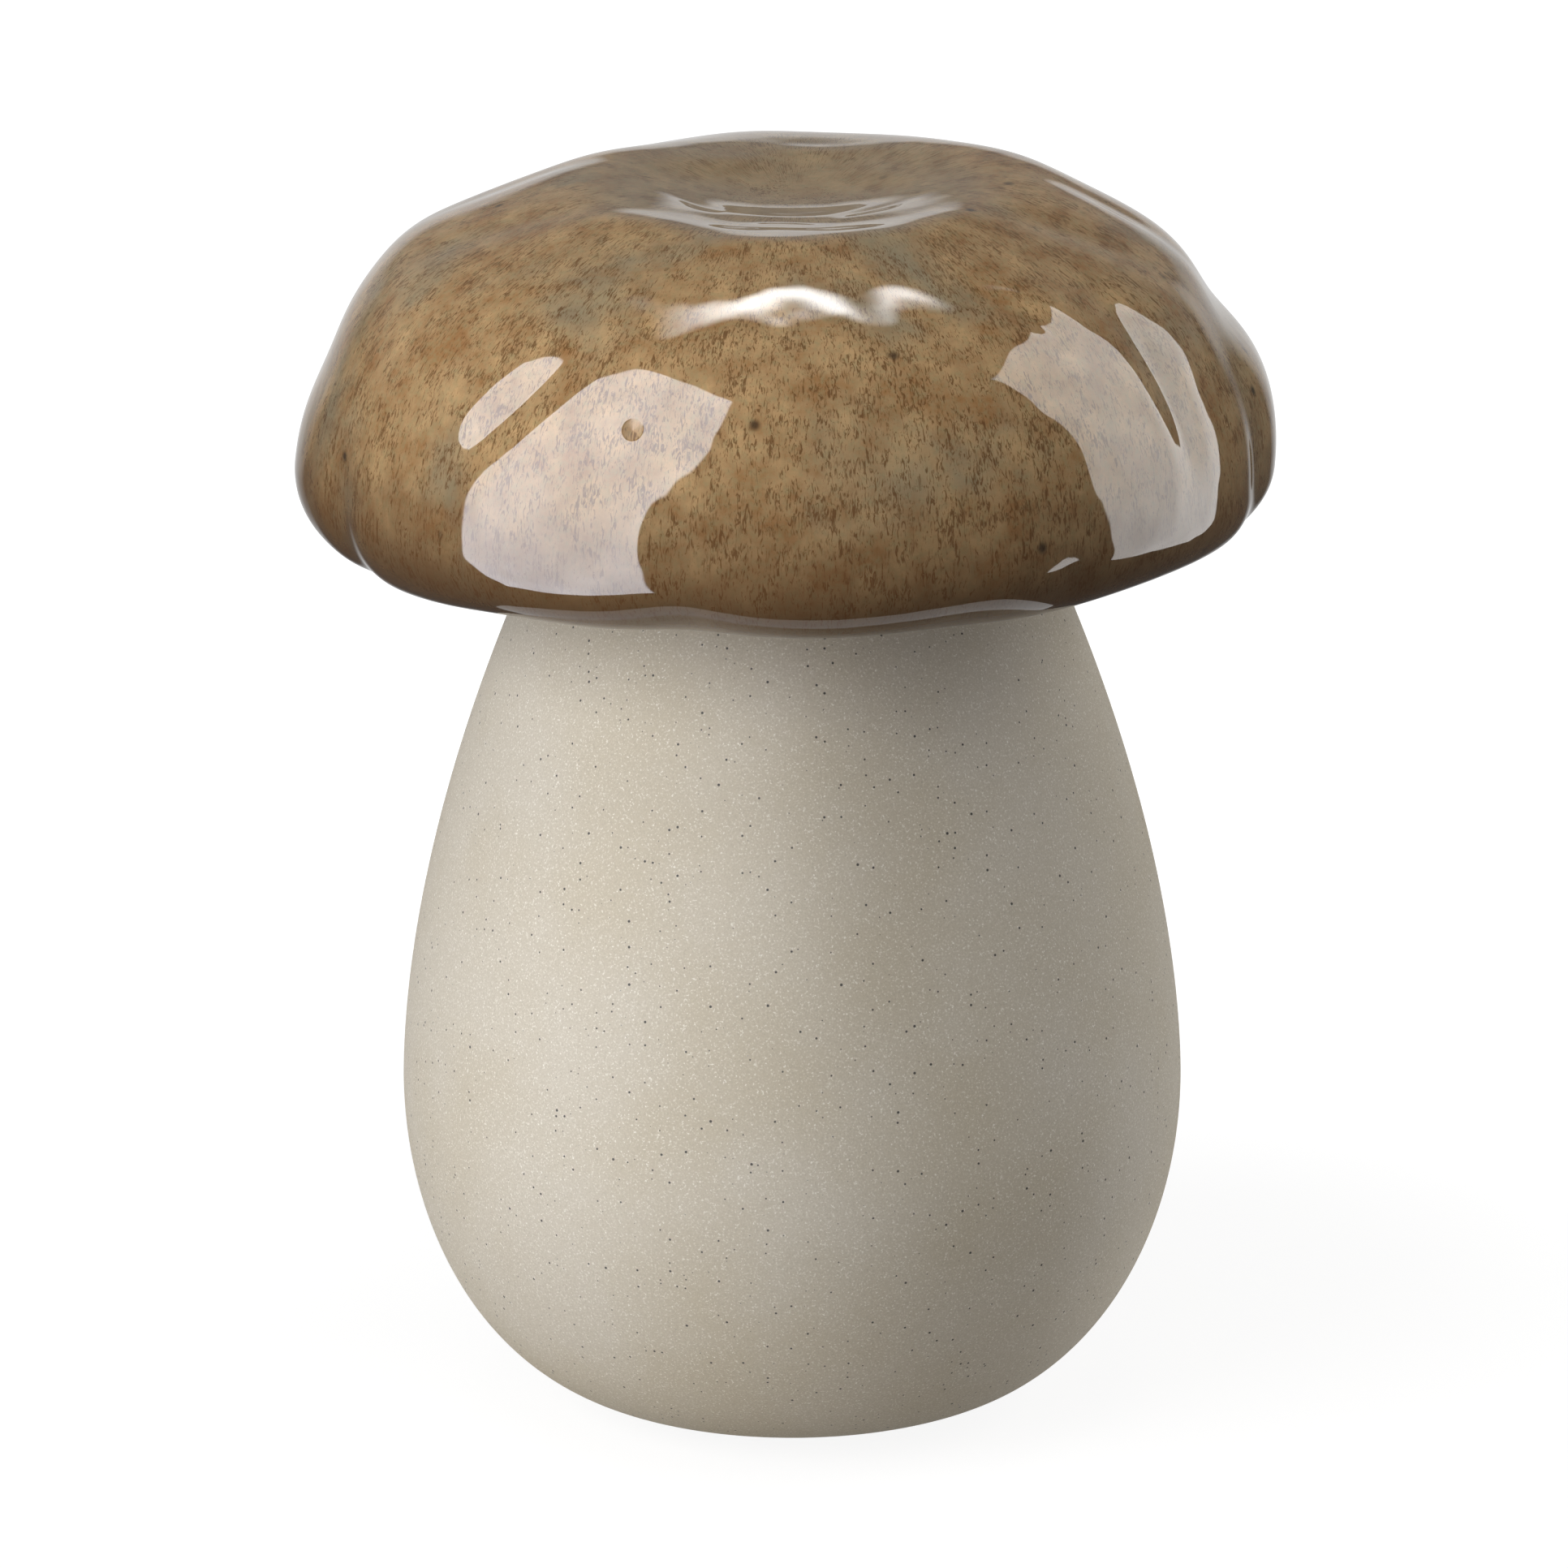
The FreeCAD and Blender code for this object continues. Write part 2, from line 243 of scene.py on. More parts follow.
@dataclass
class Skin:
    """A turned surface that a relief of dents presses in and out.

    The dents' widths and lengths are shares of reach, their lifts are shares of depth, and fade holds the
    relief back where the skin meets another piece.
    """

    profile: Profile
    dents: Sequence[Dent]
    reach: float
    depth: float
    fade: Callable[[Numbers], Numbers]

    def lift(self, places: Numbers) -> Numbers:
        """How far the skin stands out at places on the plain turned surface.

        Args:
            places: one row of coordinates each.

        Returns:
            The lift of each place.
        """
        total = np.zeros(len(places))
        for dent in self.dents:
            climb, azimuth = np.array([dent.climb]), np.radians([dent.azimuth])
            middle, across, along, out = (rows[0] for rows in self.profile.frame(climb, azimuth))
            sine, cosine = math.sin(math.radians(dent.slant)), math.cos(math.radians(dent.slant))
            width, length = dent.width * self.reach, dent.length * self.reach
            away = places - middle
            side = away @ (across * cosine - along * sine) / width
            run = away @ (across * sine + along * cosine) / length
            depth = away @ out / max(width, length)
            total += dent.lift * self.depth * np.exp(-(side ** 2 + run ** 2 + depth ** 2))
        return total

    def press(self, mesh: Mesh) -> None:
        """Move the mesh's outer vertices in and out by the relief, and note how hollow each place is.

        Args:
            mesh: a turned mesh with a climb of -1 on each vertex of its inside.
        """
        count = len(mesh.vertices)
        climb = np.zeros(count, np.float32)
        mesh.attributes["climb"].data.foreach_get("value", climb)
        places = np.zeros(count * 3, np.float32)
        mesh.vertices.foreach_get("co", places)
        places = places.reshape(-1, 3).astype(float)
        outer = climb >= 0
        azimuth = np.arctan2(places[outer, 0], -places[outer, 1])
        middle, _, _, out = self.profile.frame(climb[outer].astype(float), azimuth)
        lift = self.lift(middle) * self.fade(climb[outer])
        places[outer] = middle + out * lift[:, None]
        mesh.vertices.foreach_set("co", places.astype(np.float32).ravel())
        hollow = mesh.attributes.new("hollow", "FLOAT", "POINT")
        values = np.zeros(count, np.float32)
        values[outer] = -lift / self.depth
        hollow.data.foreach_set("value", values)
        mesh.update()


def rise(climb: Numbers, reach: float) -> Numbers:
    """Rise smoothly from 0 at the start of an outline to 1 within a reach along it."""
    part = np.clip(climb / reach, 0, 1)
    return part * part * (3 - 2 * part)


def turned_mesh(name: str, profile: Profile, rows: int, columns: int, inside: Sequence[Corner]) -> Mesh:
    """Turn a closed section about +Z, and note each vertex's climb along its outer skin.

    Args:
        name: the mesh's name.
        profile: the outer skin's outline.
        rows: steps up the outer skin.
        columns: steps around.
        inside: radius and height of the section's other corners, from the outline's end back to its start.

    Returns:
        The mesh, closed, with its faces pointing outwards.
    """
    form = bmesh.new()
    climb_layer = form.verts.layers.float.new("climb")
    section = []
    for climb in np.linspace(0, 1, rows + 1):
        radius, height = profile.at(climb)
        vertex = form.verts.new((radius, 0, height))
        vertex[climb_layer] = climb
        section.append(vertex)
    for radius, height in inside:
        vertex = form.verts.new((radius, 0, height))
        vertex[climb_layer] = -1
        section.append(vertex)
    edges = [
        form.edges.new(pair)
        for pair in zip(section, section[1:] + section[:1])
        if max(vertex.co.x for vertex in pair) > TINY
    ]
    bmesh.ops.spin(
        form,
        geom=section + edges,
        cent=(0, 0, 0),
        axis=(0, 0, 1),
        angle=2 * math.pi,
        steps=columns,
        use_merge=True,
    )
    bmesh.ops.remove_doubles(form, verts=form.verts, dist=TINY)
    bmesh.ops.recalc_face_normals(form, faces=form.faces)
    mesh = bpy.data.meshes.new(name)
    form.to_mesh(mesh)
    form.free()
    return mesh


def show(name: str, mesh: Mesh, material: Material, node: str) -> None:
    """Put a mesh in the scene in place of a node.

    Args:
        name: the piece's name.
        mesh: its mesh, in place.
        material: its finish.
        node: the node that it stands for.
    """
    piece = bpy.data.objects.new(name, mesh)
    bpy.context.scene.collection.objects.link(piece)
    mesh.materials.append(material)
    mesh.shade_smooth()
    mesh.set_sharp_from_angle(angle=math.radians(SHARP_ANGLE))
    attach(piece, "root")
    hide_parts(node)
    LOG.info("%s: %d vertices", name, len(mesh.vertices))


@dataclass(frozen=True)
class BrownGlaze:
    """Iron-flecked brown glaze under a thick clear coat, fired glossy.

    The eye gets a wet, mirror-like skin over a soft tan ground with fine rust-brown streaks that ran down
    as the glaze melted, grey-green clouds where it pooled, and a few dark iron spots.
    """

    sunny: str = "#BC9A6E"
    ground: str = "#A98860"
    rust: str = "#977048"
    olive: str = "#938963"
    pool: str = "#85806B"
    # painted shade on the lower cap, partly glaze gathered at the lip
    gathered_and_shaded: str = "#5A4028"
    streak: str = "#5F3F22"
    iron: str = "#2C211A"
    roughness: float = 0.03
    ior: float = 1.58
    mottle_size: float = 4.5 * MM
    grain_size: float = 0.9 * MM
    olive_share: float = 0.60
    cloud_size: float = 20 * MM
    cloud_share: float = 0.70
    pool_share: float = 0.35
    # painted shade on the lower cap, which faces down, partly glaze gathered at the lip:
    # it is painted darker from the first height down to the second
    lip_shade_from: float = 125 * MM
    lip_shade_to: float = 105 * MM
    lip_shade_share: float = 0.88
    # the real streaks are a third narrower, which is too fine to show from the camera's distance
    streak_width: float = 0.18 * MM
    streak_stretch: float = 0.23
    streak_share: float = 0.80
    patch_size: float = 3.15 * MM
    # the cap's widest ring
    ring_radius: float = 56.1 * MM
    ring_height: float = 112.6 * MM
    # nearer to the axis than the first the glaze lay still, and beyond the second it ran
    still_radius: float = 4 * MM
    running_radius: float = 12 * MM
    spot_spacing: float = 11 * MM
    spot_size: float = 0.6 * MM
    spot_share: float = 0.80
    ripple_size: float = 10 * MM
    ripple_height: float = 0.12 * MM
    # a burst bubble on the left of the front, bare at its bottom
    pinhole_place: tuple[float, float, float] = (-17.6 * MM, -49.4 * MM, 128.3 * MM)
    pinhole_size: float = 1.3 * MM
    pinhole_depth: float = 0.6 * MM
    pinhole_roughness: float = 0.5

    def material(self) -> Material:
        """Build the glaze's material: a mottled ground, the layers on it and a rippled skin.

        Returns:
            The material.
        """
        material, tree = new_material("brown_glaze")
        place = add_node(tree, "TexCoord").outputs["Object"]
        ripple = add_node(tree, "TexNoise", {"Vector": place, "Scale": 1 / self.ripple_size, "Detail": 2.0})
        away = add_node(tree, "VectorMath", {0: place, 1: self.pinhole_place}, operation="DISTANCE")
        pinhole = add_node(tree, "MapRange", {
            "Value": away.outputs["Value"],
            "From Max": self.pinhole_size,
            "To Min": -self.pinhole_depth,
            "To Max": 0.0,
        })
        matte = add_node(tree, "MapRange", {
            "Value": away.outputs["Value"],
            "From Min": 0.8 * self.pinhole_size,
            "From Max": self.pinhole_size,
            "To Min": self.pinhole_roughness,
            "To Max": self.roughness,
        })
        height = add_node(tree, "Math", {
            0: ripple,
            1: self.ripple_height,
            2: pinhole,
        }, operation="MULTIPLY_ADD")
        surface = add_node(tree, "BsdfPrincipled", {
            "Base Color": painted(tree, self.mottle(tree, place), self.layers(tree, place)),
            "Roughness": matte,
            "IOR": self.ior,
            "Normal": add_node(tree, "Bump", {"Distance": 1.0, "Height": height}),
        })
        add_node(tree, "OutputMaterial", {"Surface": surface})
        return material

    def mottle(self, tree: Tree, place: Socket) -> Node:
        """The ground's mottling of rust and two tans.

        Args:
            tree: the material's tree.
            place: the coordinates.

        Returns:
            The node that gives the ground's colour.
        """
        noise = add_node(tree, "TexNoise", {
            "Vector": place,
            "Scale": 1 / self.mottle_size,
            "Detail": 5.0,
            "Roughness": 0.62,
        })
        stops = [(0.34, self.rust), (0.50, self.ground), (0.66, self.sunny)]
        return set_stops(add_node(tree, "ValToRGB", {"Fac": noise}), stops)

    def layers(self, tree: Tree, place: Socket) -> list[tuple[Node, str]]:
        """What lies over the mottling, from the bottom up.

        Args:
            tree: the material's tree.
            place: the coordinates.

        Returns:
            For each layer, the node that gives how much of it shows, and its sRGB hex colour.
        """
        # an olive grain that breaks every edge of the mottling
        noise = add_node(tree, "TexNoise", {
            "Vector": place,
            "Scale": 1 / self.grain_size,
            "Detail": 4.0,
            "Roughness": 0.7,
        })
        grain = add_node(tree, "MapRange", {
            "Value": noise,
            "From Min": 0.45,
            "From Max": 0.70,
            "To Max": self.olive_share,
        })
        # the lower cap painted darker towards the lip: painted shade where the cap faces down,
        # partly glaze that gathered there as it ran down
        lip = add_node(tree, "MapRange", {
            "Value": add_node(tree, "SeparateXYZ", {"Vector": place}).outputs["Z"],
            "From Min": self.lip_shade_from,
            "From Max": self.lip_shade_to,
            "To Max": self.lip_shade_share,
        }, interpolation_type="SMOOTHSTEP")
        # the few dark spots where iron bled into the glaze
        size = self.spot_size / self.spot_spacing
        spots = add_node(tree, "MapRange", {
            "Value": add_node(tree, "TexVoronoi", {"Vector": place, "Scale": 1 / self.spot_spacing}),
            "From Min": 0.3 * size,
            "From Max": 1.6 * size,
            "To Min": self.spot_share,
            "To Max": 0.0,
        }, interpolation_type="SMOOTHSTEP")
        return [
            (grain, self.olive),
            (self.clouds(tree, place), self.pool),
            (lip, self.gathered_and_shaded),
            (self.streaks(tree, place), self.streak),
            (spots, self.iron),
        ]

    def clouds(self, tree: Tree, place: Socket) -> Node:
        """The grey-green clouds, some where they please and some where the glaze pooled in a dent.

        Args:
            tree: the material's tree.
            place: the coordinates.

        Returns:
            The node that gives how much of them shows.
        """
        cloud = add_node(tree, "TexNoise", {
            "Vector": place,
            "Scale": 1 / self.cloud_size,
            "Detail": 4.0,
            "Distortion": 0.5,
        })
        drifting = add_node(tree, "MapRange", {
            "Value": cloud,
            "From Min": 0.50,
            "From Max": 0.72,
            "To Max": self.cloud_share,
        }, interpolation_type="SMOOTHSTEP")
        hollow = add_node(tree, "Attribute", attribute_name="hollow")
        pooled = add_node(tree, "MapRange", {
            "Value": hollow.outputs["Fac"],
            "From Max": 0.8,
            "To Max": self.pool_share,
        }, interpolation_type="SMOOTHSTEP")
        return add_node(tree, "Math", {0: drifting, 1: pooled}, operation="MAXIMUM")

    def running(self, tree: Tree, place: Socket) -> tuple[Node, Node]:
        """Coordinates that go round the cap and down it, in which a streak along the fall is upright.

        Args:
            tree: the material's tree.
            place: the coordinates.

        Returns:
            The nodes that give the coordinates, and how freely the glaze ran: from 0 on the still top to 1.
        """
        parts = add_node(tree, "SeparateXYZ", {"Vector": place})
        level = add_node(tree, "VectorMath", {0: place, 1: (1.0, 1.0, 0.0)}, operation="MULTIPLY")
        radius = add_node(tree, "VectorMath", {0: level}, operation="LENGTH").outputs["Value"]
        around = add_node(tree, "VectorMath", {0: level}, operation="NORMALIZE")
        ring = add_node(tree, "VectorMath", {0: around, "Scale": self.ring_radius}, operation="SCALE")
        above = add_node(tree, "Math", {0: parts.outputs["Z"], 1: self.ring_height}, operation="SUBTRACT")
        side = add_node(tree, "Math", {0: above}, operation="SIGN")
        inward = add_node(tree, "Math", {0: self.ring_radius, 1: radius}, operation="SUBTRACT")
        fall = add_node(tree, "Math", {0: side, 1: inward, 2: above}, operation="MULTIPLY_ADD")
        drawn = add_node(tree, "Math", {0: fall, 1: self.streak_stretch}, operation="MULTIPLY")
        height = add_node(tree, "CombineXYZ", {"Z": drawn})
        both = add_node(tree, "VectorMath", {0: ring, 1: height}, operation="ADD")
        freely = add_node(tree, "MapRange", {
            "Value": radius,
            "From Min": self.still_radius,
            "From Max": self.running_radius,
        }, interpolation_type="SMOOTHSTEP")
        return both, freely

    def streaks(self, tree: Tree, place: Socket) -> Node:
        """The fine streaks that run down the cap, dots on its still top, denser in some patches.

        Args:
            tree: the material's tree.
            place: the coordinates.

        Returns:
            The node that gives how much of them shows.
        """
        # a wave of the noise is as wide as a streak and the gap beside it
        down, freely = self.running(tree, place)
        still, run = (
            add_node(tree, "TexNoise", {
                "Vector": vector,
                "Scale": 1 / (2 * self.streak_width),
                "Detail": 3.0,
                "Roughness": 0.6,
                "Distortion": 1.3,
            })
            for vector in (place, down)
        )
        grain = add_node(tree, "Mix", {"Factor": freely, "A": still, "B": run})
        patch = add_node(tree, "TexNoise", {"Vector": place, "Scale": 1 / self.patch_size, "Detail": 3.0})
        threshold = add_node(tree, "MapRange", {
            "Value": patch,
            "From Min": 0.35,
            "From Max": 0.65,
            "To Min": 0.56,
            "To Max": 0.44,
        })
        above = add_node(tree, "Math", {0: grain, 1: threshold}, operation="SUBTRACT")
        return add_node(tree, "MapRange", {
            "Value": above,
            "From Max": 0.16,
            "To Max": self.streak_share,
        }, interpolation_type="SMOOTHSTEP")


@dataclass(frozen=True)
class BareStoneware:
    """Slip-cast stoneware, sponged and fired without glaze.

    The eye gets a dry, chalky cream body with a fine sandy grain, pale grains of grit that are painted
    near-white, so that they also stand for painted glints of light, and black iron specks.
    """

    clay: str = "#CDC4B4"
    warm: str = "#C6BBA6"
    grain_dark: str = "#A59B87"
    # pale grit, painted near-white, partly as painted glints of light
    pale_grain_and_glint: str = "#F8F4EA"
    speck: str = "#2A2622"
    roughness: float = 0.78
    ior: float = 1.45
    patch_size: float = 22 * MM
    grain_size: float = 0.12 * MM
    grain_height: float = 0.03 * MM
    dark_share: float = 0.40
    pale_grain_and_glint_share: float = 0.90
    speck_spacing: float = 0.92 * MM
    speck_size: float = 0.19 * MM
    speck_share: float = 0.95
    # this share of the specks lies too deep to show
    hidden_share: float = 0.25

    def material(self) -> Material:
        """Build the clay's material: pale and warm patches, dark and pale grain, the pale partly painted
        glints, and specks.

        Returns:
            The material.
        """
        material, tree = new_material("bare_stoneware")
        place = add_node(tree, "TexCoord").outputs["Object"]
        patch = add_node(tree, "TexNoise", {"Vector": place, "Scale": 1 / self.patch_size, "Detail": 3.0})
        stops = [(0.35, self.warm), (0.65, self.clay)]
        ground = set_stops(add_node(tree, "ValToRGB", {"Fac": patch}), stops)
        # a wave of the noise is as wide as a pale grain and a dark one
        grain = add_node(tree, "TexNoise", {
            "Vector": place,
            "Scale": 1 / (2 * self.grain_size),
            "Detail": 3.0,
            "Roughness": 0.7,
        })
        # the pale grains are pale grit painted near-white, partly as painted glints of light
        dark, pale = (
            add_node(tree, "MapRange", {"Value": grain, "From Min": start, "From Max": end, "To Max": share})
            for start, end, share in ((0.48, 0.30, self.dark_share), (0.57, 0.68, self.pale_grain_and_glint_share))
        )
        layers = ((dark, self.grain_dark), (pale, self.pale_grain_and_glint), (self.specks(tree, place), self.speck))
        surface = add_node(tree, "BsdfPrincipled", {
            "Base Color": painted(tree, ground, layers),
            "Roughness": self.roughness,
            "IOR": self.ior,
            "Normal": add_node(tree, "Bump", {"Distance": self.grain_height, "Height": grain}),
        })
        add_node(tree, "OutputMaterial", {"Surface": surface})
        return material

    def specks(self, tree: Tree, place: Socket) -> Node:
        """The black iron specks, of many sizes, some too deep in the clay to show.

        Args:
            tree: the material's tree.
            place: the coordinates.

        Returns:
            The node that gives how much of them shows.
        """
        cells = add_node(tree, "TexVoronoi", {"Vector": place, "Scale": 1 / self.speck_spacing})
        chance = add_node(tree, "SeparateColor", {"Color": cells.outputs["Color"]})
        size = self.speck_size / self.speck_spacing
        reach = add_node(tree, "MapRange", {
            "Value": chance.outputs["Red"],
            "From Min": self.hidden_share,
            "To Max": size,
        })
        inside = add_node(tree, "Math", {0: reach, 1: cells}, operation="SUBTRACT")
        return add_node(tree, "MapRange", {
            "Value": inside,
            "From Max": 0.25 * size,
            "To Max": self.speck_share,
        })


@dataclass(frozen=True)
class CuredAdhesive:
    """Sand-filled epoxy, wiped flush and cured: a dull, slightly waxy line in the joints."""

    resin: str = "#B8AE99"
    sand: str = "#978C78"
    roughness: float = 0.5
    sand_size: float = 0.4 * MM

    def material(self) -> Material:
        """Build the adhesive's material.

        Returns:
            The material.
        """
        material, tree = new_material("cured_adhesive")
        place = add_node(tree, "TexCoord").outputs["Object"]
        sand = add_node(tree, "TexNoise", {"Vector": place, "Scale": 1 / self.sand_size, "Detail": 2.0})
        stops = [(0.4, self.sand), (0.6, self.resin)]
        colour = set_stops(add_node(tree, "ValToRGB", {"Fac": sand}), stops)
        surface = add_node(tree, "BsdfPrincipled", {"Base Color": colour, "Roughness": self.roughness})
        add_node(tree, "OutputMaterial", {"Surface": surface})
        return material


@dataclass(frozen=True)
class DarkFelt:
    """Pressed wool felt: a dark, soft, lint-flecked surface without any gloss."""

    wool: str = "#2E2A27"
    lint: str = "#57504A"
    fibre_size: float = 0.25 * MM
    fibre_height: float = 0.12 * MM
    roughness: float = 0.95
    sheen: float = 0.5
    sheen_roughness: float = 0.4

    def material(self) -> Material:
        """Build the felt's material.

        Returns:
            The material.
        """
        material, tree = new_material("dark_felt")
        place = add_node(tree, "TexCoord").outputs["Object"]
        fibres = add_node(tree, "TexNoise", {
            "Vector": place,
            "Scale": 1 / (2 * self.fibre_size),
            "Detail": 5.0,
            "Roughness": 0.75,
            "Distortion": 1.5,
        })
        stops = [(0.45, self.wool), (0.72, self.lint)]
        colour = set_stops(add_node(tree, "ValToRGB", {"Fac": fibres}), stops)
        surface = add_node(tree, "BsdfPrincipled", {
            "Base Color": colour,
            "Roughness": self.roughness,
            "Sheen Weight": self.sheen,
            "Sheen Roughness": self.sheen_roughness,
            "Normal": add_node(tree, "Bump", {"Distance": self.fibre_height, "Height": fibres}),
        })
        add_node(tree, "OutputMaterial", {"Surface": surface})
        return material


@dataclass
class Stem:
    """The bulbous stem: a hollow casting with a recessed foot and a spigot."""

    finish: Material
    foot_level: float = 1.2 * MM
    height: float = 106.5 * MM
    belly_radius: float = 45.3 * MM
    belly_height: float = 37.6 * MM
    neck_radius: float = 26.8 * MM
    foot_radius: float = 19.0 * MM
    wall: float = 5.0 * MM
    taper_power: float = 1.75
    recess_radius: float = 9.5 * MM
    recess_depth: float = 1.5 * MM
    spigot_radius: float = 21.0 * MM
    spigot_height: float = 8.0 * MM
    spigot_wall: float = 4.5 * MM
    dent_depth: float = 0.6 * MM
    fade_share: float = 0.12
    hollow_steps: int = 8
    rows: int = 200
    columns: int = 320
    dents: tuple[Dent, ...] = (
        Dent(0, 0.72, 0.22, 0.60, 0, 0.5),
        Dent(24, 0.66, 0.22, 0.55, 0, -0.9),
        Dent(48, 0.40, 0.20, 0.60, 0, 0.6),
        Dent(-30, 0.50, 0.30, 0.60, 0, 0.4),
        Dent(140, 0.45, 0.25, 0.60, 0, 0.6),
        Dent(-130, 0.45, 0.25, 0.60, 0, 0.6),
        Dent(175, 0.60, 0.25, 0.50, 0, -0.6),
    )

    def outline(self, share: float) -> Corner:
        """The outline from the foot (0) over the belly (half way) to the neck (1).

        Args:
            share: how far along it.

        Returns:
            Radius and height.
        """
        if share < 0.5:
            turn = math.pi * share
            radius = self.foot_radius + (self.belly_radius - self.foot_radius) * math.sin(turn)
            return radius, self.foot_level + self.belly_height * (1 - math.cos(turn))
        climb = 2 * share - 1
        radius = self.belly_radius - (self.belly_radius - self.neck_radius) * climb ** self.taper_power
        return radius, self.foot_level + self.belly_height + (self.height - self.belly_height) * climb

    def inside(self) -> list[Corner]:
        """The spigot, its bore and the hollow, from the neck down to the middle of the hollow's floor.

        Returns:
            Radius and height of each corner.
        """
        shoulder = self.foot_level + self.height
        top = shoulder + self.spigot_height
        bore = self.spigot_radius - self.spigot_wall
        low = self.foot_level + self.recess_depth + self.wall
        high = shoulder - self.wall
        corners = [(self.spigot_radius, shoulder), (self.spigot_radius, top), (bore, top), (bore, high)]
        for step in reversed(range(self.hollow_steps + 1)):
            radius, height = self.outline(step / self.hollow_steps)
            climb = (height - self.foot_level) / self.height
            corners.append((radius - self.wall, low + (high - low) * climb))
        return corners + [(0, low)]

    def recess(self) -> list[Corner]:
        """Corners of the foot's recess, from the middle out to the foot's ring."""
        floor = self.foot_level + self.recess_depth
        return [(0, floor), (self.recess_radius, floor), (self.recess_radius, self.foot_level)]

    def fade(self, climb: Numbers) -> Numbers:
        """How much of the relief shows along the stem: none at the foot and the neck."""
        return rise(climb, self.fade_share) * rise(1 - climb, self.fade_share)

    def build(self) -> None:
        """Build and dress the stem."""
        profile = Profile(self.outline)
        mesh = turned_mesh("stem_casting", profile, self.rows, self.columns, self.inside() + self.recess())
        Skin(profile, self.dents, self.belly_radius, self.dent_depth, self.fade).press(mesh)
        show("stem_casting", mesh, self.finish, "stem_shell")


@dataclass
class Cap:
    """The cap's dome: a hollow casting with dents, a waved lip and a stepped opening below."""

    finish: Material
    rim_level: float = 106.9 * MM
    radius: float = 56.1 * MM
    dome_rise: float = 35.9 * MM
    lip_drop: float = 7.9 * MM
    lip_depth: float = 7.9 * MM
    lip_return: float = 2.2 * MM
    rim_land: float = 1.5 * MM
    rim_step_width: float = 2.0 * MM
    rim_step_height: float = 3.0 * MM
    underside_thickness: float = 5.0 * MM
    wall: float = 5.0 * MM
    squareness: float = 2.3
    dent_depth: float = 2.0 * MM
    fade_share: float = 0.05
    hollow_steps: int = 8
    rows: int = 210
    columns: int = 400
    crown: Dent = Dent(0, 1.0, 0.38, 0.38, 0, -3.0)
    dents: tuple[Dent, ...] = (
        # swellings round the dip on top, with furrows behind them
        Dent(-38, 0.72, 0.14, 0.07, 0, 0.30),
        Dent(-8, 0.69, 0.14, 0.06, 0, 0.30),
        Dent(18, 0.71, 0.14, 0.06, 0, 0.25),
        Dent(45, 0.72, 0.14, 0.07, 0, 0.35),
        Dent(-20, 0.80, 0.08, 0.07, 0, -0.30),
        Dent(12, 0.80, 0.12, 0.07, 0, -0.30),
        Dent(80, 0.74, 0.30, 0.14, 0, 0.5),
        Dent(125, 0.74, 0.34, 0.14, 0, 0.9),
        Dent(-95, 0.76, 0.34, 0.14, 0, 0.5),
        Dent(-140, 0.76, 0.30, 0.14, 0, 0.5),
        # the front and the sides, from the shoulder down to the lip
        Dent(0, 0.47, 0.35, 0.16, 0, 0.45),
        Dent(-17, 0.46, 0.12, 0.08, 0, 0.25),
        Dent(-3, 0.40, 0.14, 0.12, 0, 0.22),
        Dent(-8, 0.26, 0.14, 0.16, 0, -0.20),
        Dent(-35, 0.40, 0.05, 0.16, 34, -0.38),
        Dent(-52, 0.33, 0.08, 0.12, 0, -0.20),
        Dent(0, 0.53, 0.08, 0.12, 0, -0.25),
        Dent(15, 0.54, 0.07, 0.12, 0, -0.20),
        Dent(37, 0.51, 0.04, 0.10, -40, -0.25),
        Dent(54, 0.39, 0.045, 0.19, -4, -0.38),
        Dent(66, 0.45, 0.13, 0.13, 0, 0.35),
        Dent(40, 0.51, 0.10, 0.10, 0, 0.40),
        Dent(30, 0.42, 0.12, 0.12, 0, 0.15),
        Dent(26, 0.20, 0.08, 0.10, 0, 0.30),
        Dent(-90, 0.33, 0.40, 0.13, 0, -0.6),
        Dent(95, 0.41, 0.40, 0.11, 0, -0.8),
        Dent(-92, 0.51, 0.30, 0.10, 0, 0.4),
        Dent(-95, 0.12, 0.30, 0.10, 0, 0.3),
        Dent(98, 0.12, 0.30, 0.08, 0, -0.6),
        Dent(180, 0.42, 0.40, 0.15, 0, -0.3),
        # the lip's waves, and a crease above them on each side
        Dent(-65, 0.08, 0.45, 0.12, 0, 0.8),
        Dent(65, 0.08, 0.50, 0.14, 0, -0.6),
        Dent(-110, 0.12, 0.40, 0.16, 0, 0.5),
        Dent(-28, 0.12, 0.16, 0.08, 0, 0.25),
        Dent(3, 0.12, 0.16, 0.08, 0, 0.2),
        Dent(-13, 0.12, 0.09, 0.08, 0, -0.3),
        Dent(22, 0.12, 0.12, 0.08, 0, -0.2),
        Dent(-66, 0.18, 0.07, 0.16, 0, -0.5),
        Dent(74, 0.24, 0.08, 0.20, 0, -0.5),
        # the back, in the same manner
        Dent(-130, 0.20, 0.16, 0.12, 0, 0.35),
        Dent(128, 0.14, 0.18, 0.10, 0, 0.35),
        Dent(-150, 0.30, 0.12, 0.26, -10, -0.45),
        Dent(155, 0.34, 0.14, 0.24, 15, -0.45),
        Dent(180, 0.12, 0.20, 0.10, 0, -0.3),
        Dent(178, 0.74, 0.40, 0.16, 0, -0.25),
        Dent(-170, 0.60, 0.16, 0.18, 0, 0.35),
        Dent(120, 0.56, 0.12, 0.26, 30, -0.4),
        Dent(-125, 0.60, 0.14, 0.26, -30, -0.45),
    )
